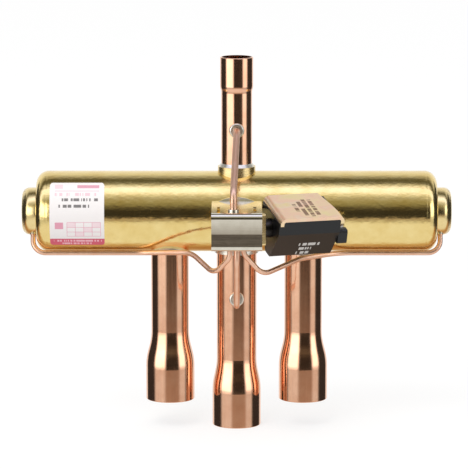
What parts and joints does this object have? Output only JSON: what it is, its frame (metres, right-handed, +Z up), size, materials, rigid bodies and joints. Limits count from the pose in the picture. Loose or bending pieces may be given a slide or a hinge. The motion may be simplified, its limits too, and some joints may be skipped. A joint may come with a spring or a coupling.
{
  "type": "four way reversing valve",
  "caption": "Four way reversing valve for a heat pump: a brass body with copper ports, and a solenoid pilot valve that shifts its slide through small copper tubes.",
  "frame": {"origin": "centre of the suction port's open mouth", "axes": "+Z up along the suction and discharge ports, +X along the body towards the coil, -Y towards the pilot valve"},
  "size_m": [0.1856, 0.0679, 0.1617],
  "materials": {
    "brass_body": "bright drawn",
    "brass_turned": "turned",
    "copper_tube": "bright drawn copper",
    "copper_wire": "enamelled copper",
    "sheet_steel": "rolled stainless",
    "zinc_steel": "passivated zinc plate",
    "turned_steel": "turned",
    "silver_braze": "as brazed",
    "black_moulding": "satin moulded",
    "nylon": "moulded",
    "ptfe": "turned",
    "label_film": "satin printed"
  },
  "bodies": {
    "valve_body": {"body_tube": "brass_body", "end_cap_left": "brass_body", "end_cap_right": "brass_body", "valve_seat": "brass_turned", "discharge_spud": "brass_body", "discharge_braze": "silver_braze", "discharge_tube": "copper_tube", "suction_tube": "copper_tube", "left_tube": "copper_tube", "right_tube": "copper_tube", "tube_braze_rings": "silver_braze", "port_braze_rings": "silver_braze", "capillary_discharge": "copper_tube", "capillary_suction": "copper_tube", "capillary_left": "copper_tube", "capillary_right": "copper_tube", "capillary_beads": "silver_braze", "pilot_bracket": "sheet_steel", "pilot_body": "brass_turned", "pilot_seat": "brass_turned", "pilot_end_plug": "brass_turned", "guide_tube": "turned_steel", "fixed_core": "turned_steel", "shading_ring": "copper_wire", "coil_bobbin": "nylon", "coil_winding": "copper_wire", "coil_moulding": "black_moulding", "coil_yoke": "zinc_steel", "coil_screw": "turned_steel", "coil_lock_washer": "turned_steel", "label": "label_film"},
    "main_slide": {"carrier_plate": "sheet_steel", "slide_block": "nylon", "piston_screws": "turned_steel", "piston_disc_left": "brass_turned", "piston_seal_left": "ptfe", "seal_spring_left": "sheet_steel", "piston_plate_left": "brass_turned", "piston_disc_right": "brass_turned", "piston_seal_right": "ptfe", "seal_spring_right": "sheet_steel", "piston_plate_right": "brass_turned"},
    "pilot_plunger": {"plunger": "turned_steel", "pilot_slide_frame": "sheet_steel", "pilot_slide": "nylon", "pilot_spring": "turned_steel"}
  },
  "joints": [
    {"name": "main_slide_travel", "type": "slide", "parent": "valve_body", "child": "main_slide", "axis": [1, 0, 0], "range_m": [0, 0.029]},
    {"name": "pilot_plunger_travel", "type": "slide", "parent": "valve_body", "child": "pilot_plunger", "axis": [0.9511, 0.309, 0], "range_m": [0, 0.003], "stiffness_N_per_m": 300, "springref_m": -0.004, "deforming": ["pilot_spring"]}
  ]
}
